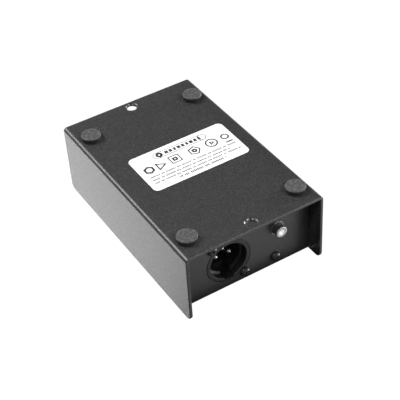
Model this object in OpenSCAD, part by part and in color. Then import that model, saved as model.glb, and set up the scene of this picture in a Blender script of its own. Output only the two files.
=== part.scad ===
// Passive direct injection box: a folded steel case in two U-shaped shells, with a male
// three-pin output and a ground lift button at the front, and two 6.35 mm jacks at the rear.
// The box stands on its feet at z = 0, centred on x = 0 and y = 0, with its output end at -Y.

/* [Case] */
// Width of the case over its side walls
body_w = 70; // [66:1:90]
// Length of the case, which is the length of its side walls
body_l = 111; // [106:1:150]
// Height of the side walls, from the base's outer face to their free edge
wall_h = 36; // [35:1:45]
// Thickness of the sheet steel
sheet_t = 1.5; // [1:0.1:2]
// Outer radius of the sheet's bends
bend_r = 1.8; // [1.7:0.1:4]
// Outside radius of the two folds of the cover
cover_bend_r = 1.8; // [1.7:0.1:3]
// Radius of the side walls' free corners
corner_r = 3; // [1:0.5:6]
// Distance from the side walls' ends back to each end panel
end_recess = 7.9; // [6:0.1:9]
// Gap between the cover and each side wall
cover_gap = 0.2; // [0.1:0.05:0.5]
// Drop from the side walls' free edge to the cover's outer face
cover_drop = 0; // [0:0.1:1]

/* [Fixing holes] */
// Distance between the two fixing holes in the base
fixing_span = 103; // [100:0.5:103]
// Diameter of a fixing hole
fixing_d = 4.5; // [3.5:0.1:4.5]
// Diameter of a fixing hole's countersink at the base's outer face
fixing_sink_d = 6.3; // [5.5:0.1:6.5]

/* [Feet and label] */
// Height of a rubber foot
foot_h = 2.5; // [2:0.1:4]
// Diameter of a rubber foot
foot_d = 9.5; // [8:0.1:12]
// Distance from the centre to the feet along the width
foot_x = 27.7; // [25:0.1:28]
// Distance from the centre to the front pair of feet
foot_front_y = 44.8; // [40:0.1:45]
// Distance from the centre to the rear pair of feet
foot_rear_y = 40.5; // [35:0.1:45]
// Width of the rating label
label_w = 50.2; // [40:0.1:52]
// Length of the rating label
label_l = 26.4; // [20:0.1:30]

/* [Output connector] */
// Sideways place of the connector's axis
xlr_x = 9.6; // [8:0.1:10]
// Height of the connector's axis
xlr_z = 22.7; // [22:0.1:23]
// Diameter of the collar that fills the panel hole
xlr_d = 22.2; // [22:0.1:22.6]
// Diameter of the wide mouth
xlr_mouth_d = 18.6; // [18:0.1:19]
// Diameter of the bore that takes the plug
xlr_bore_d = 16.3; // [16.1:0.1:16.5]
// Diameter of a contact pin
xlr_pin_d = 2.5; // [2.3:0.1:2.6]
// Radius of the circle on which the pins stand
xlr_pin_circle = 3.5; // [3.4:0.1:3.7]

/* [Ground lift button] */
// Sideways place of the button's axis
button_x = -15.9; // [-17:0.1:-15]
// Height of the button's axis
button_z = 16.7; // [16:0.1:18]
// Diameter of the button's cap
button_d = 5.7; // [5:0.1:6]
// How far the cap stands out of the panel when it is out
button_out = 3.7; // [3:0.1:4]
// Travel of the button
button_travel = 2.5; // [1.5:0.1:2.5]

/* [Jacks] */
// Distance from the centre to each jack's axis
jack_x = 14; // [12:0.5:16]
// Height of the jacks' axis
jack_z = 19.1; // [18:0.1:20]
// Diameter of a jack's bore
jack_bore_d = 6.5; // [6.4:0.05:6.6]
// How far a jack's threaded bushing stands out of the panel
jack_out = 5; // [4.5:0.1:5.5]

/* [Hidden] */
$fn = 48;
eps = 0.01;

// heights of the case
base_z = foot_h;                         // outer face of the base
floor_z = base_z + sheet_t;              // inner face of the base
wall_z = base_z + wall_h;                // free edge of the side walls
cover_z = wall_z - cover_drop;           // outer face of the cover
roof_z = cover_z - sheet_t;              // inner face of the cover
inner_w = body_w - 2 * sheet_t;          // between the side walls
cover_w = inner_w - 2 * cover_gap;
panel_y = body_l / 2 - end_recess;       // outer face of each end panel, from the centre
panel_in_y = panel_y - sheet_t;          // inner face of each end panel
panel_gap = 0.5;                         // between a panel's lower edge and the base

// M3 screws
screw_r = 1.45;
screw_hole_r = 1.6;
screw_tap_r = 1.5;
pan_head_r = 2.5;
pan_head_h = 1.6;
sink_head_r = 2.75;

// cover brackets: spot-welded to the side walls, tapped for the cover's screws
bracket_x = 27.5;
bracket_y = 36;
bracket_l = 12;
bracket_leg = 8;
bracket_foot = 10;

// circuit board
board_t = 1.6;
board_z = 9;                             // lower face
board_top = board_z + board_t;
board_w = 62;
board_l = 84;
lead_r = 0.35;
lead_hole_r = 0.5;
lead_z = board_z - 0.8;                  // lower end of every lead

// output connector
xlr_screw_dx = 8.1;
xlr_screw_dz = 10.6;
xlr_flange_t = 2.5;
xlr_flange = [24, 26];
xlr_body_w = 22;
xlr_body_top = 10.8;                     // above the connector's axis
xlr_body_back = -26;
xlr_mouth_depth = 3.5;
xlr_insert_t = 5;
xlr_pin_tip = 4.5;                       // behind the panel's outer face
xlr_notch_w = 4.9;
xlr_notch_r = 10.3;
xlr_tail_y = -22.5;
pin_angles = [0, 180, 270];

// ground lift switch
cap_depth = 2.6;                         // part of the cap inside the panel's outer face
switch_w = 8.5;
switch_front = -41.9;
switch_back = -29;
switch_top = board_top + 10.4;
switch_wall = 1;
plunger_r = 1.6;
plunger_head = [5, 3, 5];
plunger_head_y = switch_front + switch_wall + 0.1;
spring_r = 1.1;
spring_wire_r = 0.22;
spring_turns = 6;
terminal_dx = 2.5;
terminal_y = [-39.5, -35.5, -31.5];
collar_r = 3.6;
collar_sleeve_r = 3.35;
collar_bore_r = button_d / 2 + 0.15;
collar_lip = 0.4;

// ground screw, lug and wire
ground_x = -14.9;
ground_z = 32.9;
lug_t = 0.6;
lug_r = 2.7;
lug_end_x = -24;
wire_r = 0.65;
wire_bend = 3;
wire_y = -panel_in_y + lug_t + wire_r;
wire_top = ground_z - 0.6;
wire_mid = 19;

// transformer
core_w = 26;
core_t = 10;
core_z = board_top + 1.4;
core_h = 20;
core_leg = 7;
core_yoke = 3.5;
window_w = (core_w - core_leg - 2 * core_yoke) / 2;
window_h = core_h - 2 * core_yoke;
coil_gap = 0.1;
bobbin_wall = 0.8;
coil_out = 5;                            // winding's reach past the core along y
rail_y = 8;
strap_t = 0.6;
trafo = [1, -1];                         // place on the board

// jacks
thread_r = 4.7;
thread_clear = 0.05;
jack_w = 16;
jack_h = 17;
jack_seat = 3;                           // part of the bushing inside the body
jack_back = 19.6;
jack_end_wall = 1.5;
channel_w = 9;
channel_h = 7.4;
washer_t = 0.5;
nut_t = 2.4;
nut_af = 12;
contact_t = 0.4;
contact_w = 3;
contact_y = [25, 31.5, 38];
jack_end_y = panel_y + jack_out;

// leads through the board, as [x, y]
xlr_leads = [for (a = pin_angles) [xlr_x + xlr_pin_circle * cos(a), xlr_tail_y + (a == 270 ? 2.5 : 0)]];
switch_leads = [for (s = [-1, 1], y = terminal_y) [button_x + s * terminal_dx, y]];
trafo_leads = [for (s = [-1, 1], x = [-5, 0, 5]) [trafo[0] + x, trafo[1] + s * rail_y]];
jack_leads = [for (s = [-1, 1], y = contact_y) [s * jack_x + channel_w / 2 - contact_t / 2, y]];
resistor_at = [[-24, -22], [-24, -17], [-24, -12]];
resistor_span = 10;
resistor_leads = [for (p = resistor_at, s = [-1, 1]) [p[0] + s * resistor_span / 2, p[1]]];
capacitor_at = [[-23, -2], [-23, 6]];
capacitor_span = 5;
capacitor_leads = [for (p = capacitor_at, s = [-1, 1]) [p[0] + s * capacitor_span / 2, p[1]]];
board_leads = concat(xlr_leads, switch_leads, trafo_leads, jack_leads, resistor_leads,
                     capacitor_leads);

// ---- helpers ----

// a rectangle that stands on y = 0 with its two lower corners rounded
module cup(w, h, r) {
  translate([-w / 2, r]) square([w, h - r]);
  translate([-w / 2 + r, 0]) square([w - 2 * r, r]);
  for (s = [-1, 1]) translate([s * (w / 2 - r), r]) circle(r);
}

// sheet bent into a U that opens upwards
module bent_sheet(w, h, r = bend_r) {
  difference() {
    cup(w, h, r);
    translate([0, sheet_t]) cup(w - 2 * sheet_t, h, r - sheet_t);
  }
}

module round_rect(w, l, r) {
  square([w - 2 * r, l], center = true);
  square([w, l - 2 * r], center = true);
  for (sx = [-1, 1], sy = [-1, 1]) translate([sx * (w / 2 - r), sy * (l / 2 - r)]) circle(r);
}

// extrusions of a flat outline drawn as [x, z] or as [y, z], centred on the third axis
module along_y(l) { rotate([90, 0, 0]) linear_extrude(l, center = true) children(); }
module along_x(l) { rotate([90, 0, 90]) linear_extrude(l, center = true) children(); }

// a round bar along y from y0 to y1
module bar_y(x, z, y0, y1, r) {
  translate([x, y0, z]) rotate([-90, 0, 0]) cylinder(h = y1 - y0, r = r);
}

// a round bar along z from z0 to z1
module bar_z(x, y, z0, z1, r) { translate([x, y, z0]) cylinder(h = z1 - z0, r = r); }

// a block given by its lowest and highest corners
module block(low, high) { translate(low) cube(high - low); }

// cross recess in a screw head that faces +z, cut down from z = 0
module cross_recess(size, depth) {
  for (a = [0, 90]) rotate([0, 0, a])
    translate([-size / 2, -size / 7, -depth]) cube([size, size * 2 / 7, depth + 1]);
}

// pan-head screw that points along -z, with its head standing on z = 0
module pan_screw(l) {
  difference() {
    union() {
      cylinder(h = pan_head_h * 0.6, r = pan_head_r);
      translate([0, 0, pan_head_h * 0.6])
        cylinder(h = pan_head_h * 0.4, r1 = pan_head_r, r2 = pan_head_r * 0.75);
      translate([0, 0, -l]) cylinder(h = l, r = screw_r);
    }
    translate([0, 0, pan_head_h]) cross_recess(2.6, 1);
  }
}

// puts a +z shape on the front panel's outer face, facing -y
module on_front(x, z) { translate([x, -panel_y, z]) rotate([90, 0, 0]) children(); }

// a tube swept along a helix that climbs z from 0 to h
module helix(r, wire, turns, h) {
  ring = 6;
  steps = turns * 14;
  points = [for (i = [0:steps], k = [0:ring - 1])
    let (a = 360 * turns * i / steps, b = 360 * k / ring, q = r + wire * cos(b))
    [q * cos(a), q * sin(a), wire + (h - 2 * wire) * i / steps + wire * sin(b)]];
  sides = [for (i = [0:steps - 1], k = [0:ring - 1])
    [i * ring + k, (i + 1) * ring + k, (i + 1) * ring + (k + 1) % ring, i * ring + (k + 1) % ring]];
  ends = [[for (k = [0:ring - 1]) k], [for (k = [ring - 1:-1:0]) steps * ring + k]];
  polyhedron(points, concat(sides, ends));
}

// ---- case ----

module base_shell() {
  color("#26282a") difference() {
    intersection() {
      translate([0, 0, base_z]) along_y(body_l) bent_sheet(body_w, wall_h);
      translate([0, 0, wall_z]) mirror([0, 0, 1]) along_x(body_w + 2) cup(body_l, wall_h, corner_r);
    }
    for (s = [-1, 1]) translate([0, s * fixing_span / 2, base_z]) {
      translate([0, 0, -1]) cylinder(h = sheet_t + 2, d = fixing_d);
      cylinder(h = (fixing_sink_d - fixing_d) / 2, d1 = fixing_sink_d, d2 = fixing_d);
      translate([0, 0, -1]) cylinder(h = 1 + eps, d = fixing_sink_d);
    }
  }
}

module cover_chassis() {
  h = cover_z - floor_z - panel_gap;
  color("#26282a") difference() {
    translate([0, 0, cover_z]) mirror([0, 0, 1]) along_x(cover_w)
      bent_sheet(2 * panel_y, h, cover_bend_r);
    bar_y(xlr_x, xlr_z, -panel_y - 1, -panel_in_y + 1, xlr_d / 2 + 0.1);
    for (s = [-1, 1])
      bar_y(xlr_x + s * xlr_screw_dx, xlr_z - s * xlr_screw_dz, -panel_y - 1, -panel_in_y + 1,
            screw_hole_r);
    bar_y(button_x, button_z, -panel_y - 1, -panel_in_y + 1, collar_sleeve_r + 0.05);
    bar_y(ground_x, ground_z, -panel_y - 1, -panel_in_y + 1, screw_hole_r);
    for (s = [-1, 1]) bar_y(s * jack_x, jack_z, panel_in_y - 1, panel_y + 1, thread_r + 0.15);
    for (sx = [-1, 1], sy = [-1, 1]) translate([sx * bracket_x, sy * bracket_y, 0]) {
      bar_z(0, 0, roof_z - 1, cover_z + 1, screw_hole_r);
      translate([0, 0, cover_z - sink_head_r + screw_hole_r])
        cylinder(h = sink_head_r - screw_hole_r, r1 = screw_hole_r, r2 = sink_head_r);
      bar_z(0, 0, cover_z - eps, cover_z + 1, sink_head_r);
    }
  }
}

module cover_brackets() {
  wall_x = inner_w / 2;
  color("#8f9498") for (sx = [-1, 1], sy = [-1, 1]) mirror([sx < 0 ? 1 : 0, 0, 0])
    translate([0, sy * bracket_y, 0]) difference() {
      union() {
        block([wall_x - sheet_t, -bracket_l / 2, roof_z - bracket_leg],
              [wall_x, bracket_l / 2, roof_z]);
        block([wall_x - bracket_foot, -bracket_l / 2, roof_z - sheet_t],
              [wall_x, bracket_l / 2, roof_z]);
      }
      bar_z(bracket_x, 0, roof_z - 3, roof_z + 1, screw_tap_r);
    }
}

module cover_screws() {
  color("#1a1b1c") for (sx = [-1, 1], sy = [-1, 1])
    translate([sx * bracket_x, sy * bracket_y, cover_z]) difference() {
      union() {
        translate([0, 0, -1.2]) cylinder(h = 1.2, r1 = screw_r, r2 = sink_head_r - 0.1);
        translate([0, 0, -7]) cylinder(h = 7, r = screw_r);
      }
      cross_recess(2.6, 1);
    }
}

module foot(sx, y) {
  chamfer = 0.4;
  color("#161616") translate([sx * foot_x, y, 0]) {
    cylinder(h = chamfer, d1 = foot_d - 2 * chamfer, d2 = foot_d);
    translate([0, 0, chamfer]) cylinder(h = foot_h - chamfer, d = foot_d);
  }
}
module foot_front_left() { foot(-1, -foot_front_y); }
module foot_front_right() { foot(1, -foot_front_y); }
module foot_rear_left() { foot(-1, foot_rear_y); }
module foot_rear_right() { foot(1, foot_rear_y); }

module rating_label() {
  thickness = 0.12;
  color("white") translate([-2.3, 2.3, base_z - thickness])
    linear_extrude(thickness) round_rect(label_w, label_l, 2.5);
}

// ---- output connector ----

module xlr_housing() {
  face = -panel_y;
  back_face = -panel_in_y;
  color("#2b2c2e") difference() {
    union() {
      bar_y(xlr_x, xlr_z, face, back_face, xlr_d / 2);
      translate([xlr_x, back_face + xlr_flange_t / 2, xlr_z])
        cube([xlr_flange[0], xlr_flange_t, xlr_flange[1]], center = true);
      block([xlr_x - xlr_body_w / 2, back_face + xlr_flange_t, board_top],
            [xlr_x + xlr_body_w / 2, xlr_body_back, xlr_z + xlr_body_top]);
    }
    bar_y(xlr_x, xlr_z, face - 1, xlr_body_back + 1, xlr_bore_d / 2);
    bar_y(xlr_x, xlr_z, face - 1, face + xlr_mouth_depth, xlr_mouth_d / 2);
    block([xlr_x - xlr_notch_w / 2, face - 1, xlr_z],
          [xlr_x + xlr_notch_w / 2, face + 9, xlr_z + xlr_notch_r]);
    for (s = [-1, 1])
      bar_y(xlr_x + s * xlr_screw_dx, xlr_z - s * xlr_screw_dz, back_face - 1, back_face + 9,
            screw_tap_r);
  }
}

module xlr_insert() {
  color("#1d1e1f") difference() {
    bar_y(xlr_x, xlr_z, xlr_body_back - xlr_insert_t, xlr_body_back, xlr_bore_d / 2 - 0.05);
    for (a = pin_angles)
      bar_y(xlr_x + xlr_pin_circle * cos(a), xlr_z + xlr_pin_circle * sin(a),
            xlr_body_back - xlr_insert_t - 1, xlr_body_back + 1, xlr_pin_d / 2 + 0.05);
  }
}

module xlr_pins() {
  tip_y = -panel_y + xlr_pin_tip;
  color("#d8c9a0") for (i = [0:2]) {
    a = pin_angles[i];
    x = xlr_x + xlr_pin_circle * cos(a);
    z = xlr_z + xlr_pin_circle * sin(a);
    tail_y = xlr_leads[i][1];
    bar_y(x, z, tip_y + xlr_pin_d / 2, xlr_body_back + 0.4, xlr_pin_d / 2);
    translate([x, tip_y + xlr_pin_d / 2, z]) sphere(d = xlr_pin_d);
    bar_y(x, z, xlr_body_back, tail_y, lead_r);
    translate([x, tail_y, z]) sphere(r = lead_r);
    bar_z(x, tail_y, lead_z, z, lead_r);
  }
}

module xlr_screws() {
  color("#1a1b1c") for (s = [-1, 1])
    on_front(xlr_x + s * xlr_screw_dx, xlr_z - s * xlr_screw_dz) pan_screw(8);
}

// ---- ground lift ----

module ground_lift_button() {
  chamfer = 0.4;
  color("#c9ccd0") on_front(button_x, button_z) difference() {
    union() {
      translate([0, 0, -cap_depth]) cylinder(h = cap_depth + button_out - chamfer, d = button_d);
      translate([0, 0, button_out - chamfer])
        cylinder(h = chamfer, d1 = button_d, d2 = button_d - 2 * chamfer);
    }
    translate([0, 0, -cap_depth - 1]) cylinder(h = cap_depth + 3, r = plunger_r);
  }
}

module switch_plunger() {
  color("#e8e6df") {
    bar_y(button_x, button_z, -panel_y - 2 + eps, plunger_head_y, plunger_r - 0.03);
    translate([button_x, plunger_head_y + plunger_head[1] / 2, button_z])
      cube(plunger_head, center = true);
  }
}

module button_collar() {
  color("#d6d8da") on_front(button_x, button_z) difference() {
    union() {
      cylinder(h = collar_lip, r = collar_r);
      translate([0, 0, -sheet_t]) cylinder(h = sheet_t, r = collar_sleeve_r);
    }
    translate([0, 0, -sheet_t - 1]) cylinder(h = sheet_t + 3, r = collar_bore_r);
  }
}

module switch_body() {
  half = switch_w / 2;
  room = plunger_head[0] / 2 + 0.3;
  color("#32343a") difference() {
    block([button_x - half, switch_front, board_top], [button_x + half, switch_back, switch_top]);
    block([button_x - room, switch_front + switch_wall, button_z - room],
          [button_x + room, switch_back - switch_wall, button_z + room]);
    bar_y(button_x, button_z, switch_front - 1, switch_front + switch_wall + 1, plunger_r + 0.15);
  }
}

module switch_spring() {
  spring_y = plunger_head_y + plunger_head[1];
  color("#b9bcc0") translate([button_x, spring_y, button_z]) rotate([-90, 0, 0])
    helix(spring_r, spring_wire_r, spring_turns, switch_back - switch_wall - spring_y);
}

module switch_terminals() {
  color("#cfd2d4") for (p = switch_leads) bar_z(p[0], p[1], lead_z, board_top, lead_r);
}

// ---- ground screw and its wire ----

module ground_screw() { color("#1a1b1c") on_front(ground_x, ground_z) pan_screw(7); }

module ground_nut() {
  nut_y = -panel_in_y + lug_t;
  color("#b9bcc0") translate([ground_x, nut_y, ground_z]) rotate([-90, 0, 0]) difference() {
    cylinder(h = 2.4, d = 6.35, $fn = 6);
    translate([0, 0, -1]) cylinder(h = 5, r = screw_tap_r);
  }
}

module ground_lug() {
  tab_w = 3;
  color("#c8b98a") difference() {
    translate([0, -panel_in_y + lug_t / 2, ground_z]) along_y(lug_t) {
      translate([ground_x, 0]) circle(lug_r);
      translate([lug_end_x - 1.5, -tab_w / 2]) square([ground_x - lug_end_x, tab_w]);
    }
    bar_y(ground_x, ground_z, -panel_in_y - 1, -panel_in_y + 2, screw_hole_r);
  }
}

module ground_wire() {
  y1 = wire_y + wire_bend;
  y2 = y1 + 2;
  y3 = y2 + wire_bend;
  color("#7a9a2e") {
    bar_z(lug_end_x, wire_y, wire_mid + wire_bend, wire_top, wire_r);
    translate([lug_end_x, y1, wire_mid + wire_bend]) rotate([0, -90, 0]) rotate([0, 0, 180])
      rotate_extrude(angle = 90) translate([wire_bend, 0]) circle(wire_r);
    bar_y(lug_end_x, wire_mid, y1, y2, wire_r);
    translate([lug_end_x, y2, wire_mid - wire_bend]) rotate([0, -90, 0])
      rotate_extrude(angle = 90) translate([wire_bend, 0]) circle(wire_r);
    bar_z(lug_end_x, y3, board_top, wire_mid - wire_bend, wire_r);
  }
}

// ---- circuit board and what stands on it ----

module circuit_board() {
  color("#2f6b45") difference() {
    translate([0, 0, board_z]) linear_extrude(board_t) square([board_w, board_l], center = true);
    for (p = board_leads) bar_z(p[0], p[1], board_z - 1, board_top + 1, lead_hole_r);
  }
}

// places a shape at the transformer's seat on the board
module at_trafo() { translate([trafo[0], trafo[1], core_z]) children(); }

module transformer_core() {
  color("#6d7074") at_trafo() along_y(core_t) difference() {
    translate([-core_w / 2, 0]) square([core_w, core_h]);
    for (s = [-1, 1]) translate([s * (core_leg + window_w) / 2 - window_w / 2, core_yoke])
      square([window_w, window_h]);
  }
}

module transformer_bobbin() {
  hole = [core_leg / 2 + coil_gap, core_t / 2 + coil_gap];
  flange = [core_leg / 2 + window_w - coil_gap, core_t / 2 + coil_out];
  low = core_yoke + coil_gap;
  high = core_h - core_yoke - coil_gap;
  color("#d9d3c0") at_trafo() difference() {
    union() {
      block([-hole[0] - bobbin_wall, -hole[1] - bobbin_wall, low],
            [hole[0] + bobbin_wall, hole[1] + bobbin_wall, high]);
      for (z = [low, high - bobbin_wall])
        block([-flange[0], -flange[1], z], [flange[0], flange[1], z + bobbin_wall]);
      for (s = [-1, 1]) translate([0, s * rail_y, 0])
        block([-flange[0], -1.8, board_top - core_z], [flange[0], 1.8, low + eps]);
    }
    block([-hole[0], -hole[1], low - 1], [hole[0], hole[1], high + 1]);
    for (s = [-1, 1], x = [-5, 0, 5])
      bar_z(x, s * rail_y, board_top - core_z - 1, 1, lead_r + 0.05);
  }
}

module transformer_winding() {
  inner = [core_leg + 2 * (bobbin_wall + 2 * coil_gap), core_t + 2 * (bobbin_wall + 2 * coil_gap)];
  outer = [core_leg + 2 * window_w - 6 * coil_gap, core_t + 2 * coil_out - 1];
  low = core_yoke + bobbin_wall + 2 * coil_gap;
  high = core_h - core_yoke - bobbin_wall - 2 * coil_gap;
  color("#a3602c") at_trafo() translate([0, 0, low]) linear_extrude(high - low) difference() {
    round_rect(outer[0], outer[1], 2.5);
    square(inner, center = true);
  }
}

module transformer_strap() {
  reach = core_w / 2 + coil_gap;
  top = core_h + coil_gap;
  foot_out = 5;
  color("#b4b8bb") at_trafo() difference() {
    union() {
      block([-reach - strap_t, -core_t / 2, board_top - core_z],
            [reach + strap_t, core_t / 2, top + strap_t]);
      block([-reach - foot_out, -core_t / 2, board_top - core_z],
            [reach + foot_out, core_t / 2, board_top - core_z + strap_t]);
    }
    block([-reach, -core_t, board_top - core_z - 1], [reach, core_t, top]);
  }
}

module transformer_pins() {
  color("#cfd2d4") for (p = trafo_leads) bar_z(p[0], p[1], lead_z, core_z + 0.9, lead_r);
}

module resistors() {
  body_r = 1.2;
  body_l = 6.3;
  axis_z = board_top + body_r + 0.3;
  color("#8fb3c4") for (p = resistor_at) translate([p[0], p[1], 0]) {
    translate([-body_l / 2, 0, axis_z]) rotate([0, 90, 0]) cylinder(h = body_l, r = body_r);
    translate([-resistor_span / 2, 0, axis_z]) rotate([0, 90, 0])
      cylinder(h = resistor_span, r = lead_r);
    for (s = [-1, 1]) {
      bar_z(s * resistor_span / 2, 0, lead_z, axis_z, lead_r);
      translate([s * resistor_span / 2, 0, axis_z]) sphere(r = lead_r);
    }
  }
}

module capacitors() {
  color("#b3392c") for (p = capacitor_at) translate([p[0], p[1], 0]) {
    block([-3.6, -1.5, board_top + 0.3], [3.6, 1.5, board_top + 7.3]);
    for (s = [-1, 1]) bar_z(s * capacitor_span / 2, 0, lead_z, board_top + 1, lead_r);
  }
}

// ---- jacks; each takes the sideways place of its axis ----

module jack_body(x) {
  lead_slot = contact_t + 0.3;
  color("#202123") difference() {
    block([x - jack_w / 2, jack_back, board_top], [x + jack_w / 2, panel_in_y, board_top + jack_h]);
    block([x - channel_w / 2, jack_back + jack_end_wall, jack_z - channel_h / 2],
          [x + channel_w / 2, panel_in_y - jack_seat, jack_z + channel_h / 2]);
    bar_y(x, jack_z, panel_in_y - jack_seat - 1, panel_in_y + 1, thread_r + thread_clear);
    for (y = contact_y)
      block([x + channel_w / 2 - lead_slot, y - contact_w / 2 - 0.1, board_top - 1],
            [x + channel_w / 2 + lead_r - contact_t / 2 + 0.1, y + contact_w / 2 + 0.1, jack_z]);
  }
}

module jack_bushing(x) {
  color("#b9bcc0") difference() {
    bar_y(x, jack_z, panel_in_y - jack_seat, jack_end_y, thread_r);
    bar_y(x, jack_z, panel_in_y - jack_seat - 1, jack_end_y + 1, jack_bore_d / 2);
  }
}

module jack_washer(x) {
  color("#c4c7ca") difference() {
    bar_y(x, jack_z, panel_y, panel_y + washer_t, 6.8);
    bar_y(x, jack_z, panel_y - 1, panel_y + 2, thread_r + thread_clear);
  }
}

module jack_nut(x) {
  color("#c4c7ca") translate([x, panel_y + washer_t, jack_z]) rotate([-90, 0, 0]) difference() {
    cylinder(h = nut_t, d = nut_af / cos(30), $fn = 6);
    translate([0, 0, -1]) cylinder(h = nut_t + 2, r = thread_r + thread_clear);
  }
}

module jack_contacts(x) {
  wall_x = x + channel_w / 2;
  color("#d8c9a0") for (y = contact_y) {
    block([wall_x - contact_t, y - contact_w / 2, board_top + 0.3],
          [wall_x, y + contact_w / 2, jack_z + 2.5]);
    block([wall_x - 1.1, y - contact_w / 2, jack_z + 1.7],
          [wall_x - contact_t + eps, y + contact_w / 2, jack_z + 2.5]);
    bar_z(wall_x - contact_t / 2, y, lead_z, board_top + 0.6, lead_r);
  }
}

module input_jack_body() { jack_body(-jack_x); }
module input_jack_bushing() { jack_bushing(-jack_x); }
module input_jack_nut() { jack_nut(-jack_x); }
module input_jack_washer() { jack_washer(-jack_x); }
module input_jack_contacts() { jack_contacts(-jack_x); }
module link_jack_body() { jack_body(jack_x); }
module link_jack_bushing() { jack_bushing(jack_x); }
module link_jack_nut() { jack_nut(jack_x); }
module link_jack_washer() { jack_washer(jack_x); }
module link_jack_contacts() { jack_contacts(jack_x); }

base_shell();
cover_chassis();
cover_brackets();
cover_screws();
foot_front_left();
foot_front_right();
foot_rear_left();
foot_rear_right();
rating_label();
xlr_housing();
xlr_insert();
xlr_pins();
xlr_screws();
ground_lift_button();
switch_plunger();
button_collar();
switch_body();
switch_spring();
switch_terminals();
ground_screw();
ground_nut();
ground_lug();
ground_wire();
circuit_board();
transformer_core();
transformer_bobbin();
transformer_winding();
transformer_strap();
transformer_pins();
resistors();
capacitors();
input_jack_body();
input_jack_bushing();
input_jack_nut();
input_jack_washer();
input_jack_contacts();
link_jack_body();
link_jack_bushing();
link_jack_nut();
link_jack_washer();
link_jack_contacts();
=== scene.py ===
# %% [markdown]
# # A direct injection box
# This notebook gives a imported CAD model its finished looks. A direct injection box is a small steel
# case that carries a guitar's signal to a mixer through a transformer. The CAD model already says
# where each part is and how big it is, so every size below is read from it. The first cell loads it.

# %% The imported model
import math

import bmesh
import bpy
from mathutils import Matrix, Vector


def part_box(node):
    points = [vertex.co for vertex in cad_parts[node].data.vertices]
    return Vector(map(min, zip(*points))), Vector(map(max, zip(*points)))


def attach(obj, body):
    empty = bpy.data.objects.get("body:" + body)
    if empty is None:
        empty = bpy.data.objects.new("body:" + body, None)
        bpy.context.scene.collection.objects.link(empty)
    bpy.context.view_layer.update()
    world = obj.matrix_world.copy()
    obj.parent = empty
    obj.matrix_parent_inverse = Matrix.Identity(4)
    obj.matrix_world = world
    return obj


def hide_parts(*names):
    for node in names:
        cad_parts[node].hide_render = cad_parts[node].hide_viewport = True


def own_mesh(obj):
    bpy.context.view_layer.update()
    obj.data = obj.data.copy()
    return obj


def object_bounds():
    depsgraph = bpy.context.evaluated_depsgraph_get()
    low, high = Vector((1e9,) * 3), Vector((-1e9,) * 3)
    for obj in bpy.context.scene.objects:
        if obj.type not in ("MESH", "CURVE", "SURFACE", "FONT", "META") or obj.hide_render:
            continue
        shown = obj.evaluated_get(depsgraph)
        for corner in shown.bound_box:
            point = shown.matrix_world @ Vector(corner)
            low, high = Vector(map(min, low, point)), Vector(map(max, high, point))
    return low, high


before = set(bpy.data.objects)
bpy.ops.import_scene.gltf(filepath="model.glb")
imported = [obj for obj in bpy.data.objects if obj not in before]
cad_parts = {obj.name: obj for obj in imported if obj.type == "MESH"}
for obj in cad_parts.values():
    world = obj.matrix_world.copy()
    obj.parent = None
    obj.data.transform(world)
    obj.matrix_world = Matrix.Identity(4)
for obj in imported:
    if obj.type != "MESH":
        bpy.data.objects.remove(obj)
cad_low, cad_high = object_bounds()
print("case:", [round(1000 * side, 1) for side in cad_high - cad_low], "mm")

# %% [markdown]
# ## Places and sizes
# The model is in metres, and a case like this is thought of in millimetres, so one name turns one
# into the other. Each part's box gives its centre and its size, which saves measuring anything twice.

# %% Sizes read from the model
MM = 0.001


def middle(node):
    """The centre of a CAD part's box."""
    low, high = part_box(node)
    return (low + high) / 2


def extent(node):
    """The size of a CAD part's box along X, Y and Z."""
    low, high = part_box(node)
    return high - low


case_low, case_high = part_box("base_shell")
cover_low, cover_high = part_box("cover_chassis")
sheet = case_high.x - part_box("cover_brackets")[1].x
print("sheet:", round(sheet / MM, 2), "mm thick")

# %% [markdown]
# ## The camera
# The box is shown lying on its cover, with its feet up. The model stands on its feet, so the camera
# looks at it from below and is rolled over instead, which comes to the same. A long lens, far away,
# keeps the edges nearly parallel, as is usual for showing a product.

# %% Camera
AZIMUTH = math.radians(29.52)
ELEVATION = math.radians(-40.46)
ROLL = math.radians(176.08)
DISTANCE = 516.6 * MM
LENS = 100.69
AIM = (cad_low + cad_high) / 2 + Vector((-2.2, -5.3, 4.1)) * MM

camera = bpy.data.objects.new("camera", bpy.data.cameras.new("camera"))
bpy.context.scene.collection.objects.link(camera)
bpy.context.scene.camera = camera
camera.data.lens = LENS
camera.data.sensor_width = 36
camera.data.clip_start = 0.01
backwards = Vector((
    math.sin(AZIMUTH) * math.cos(ELEVATION),
    -math.cos(AZIMUTH) * math.cos(ELEVATION),
    math.sin(ELEVATION)))
upright = backwards.to_track_quat("Z", "Y").to_matrix().to_4x4()
camera.matrix_world = (
    Matrix.Translation(AIM + backwards * DISTANCE) @ upright @ Matrix.Rotation(ROLL, 4, "Z"))
print("camera at", [round(c, 3) for c in camera.location])

# %% [markdown]
# ## Lights
# Black powder coat shows its shape by what it reflects, so the surroundings matter more than the
# lamps. The sky that lights the box is pale above, dim below and dim on one side, which keeps the
# recess in front of the output panel dark, while the camera itself always sees a white backdrop. One
# large panel behind puts a soft sheen on a long wall, one lights the output panel from its other
# side, and the panels below light the label and draw bright lines along the edges and in the holes.

# %% Surroundings
world = bpy.data.worlds.new("studio")
bpy.context.scene.world = world
world.use_nodes = True
sky = world.node_tree.nodes
sky_links = world.node_tree.links
SKY_BELOW = (0.15, 0.15, 0.155, 1)
SKY_ABOVE = (0.6, 0.6, 0.6, 1)
DIM_SIDE = Vector((0.9, -0.25, 0.2)).normalized()
DIM_TO = 0.22
BACKDROP = (1.03, 1.03, 1.03, 1)


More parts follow.
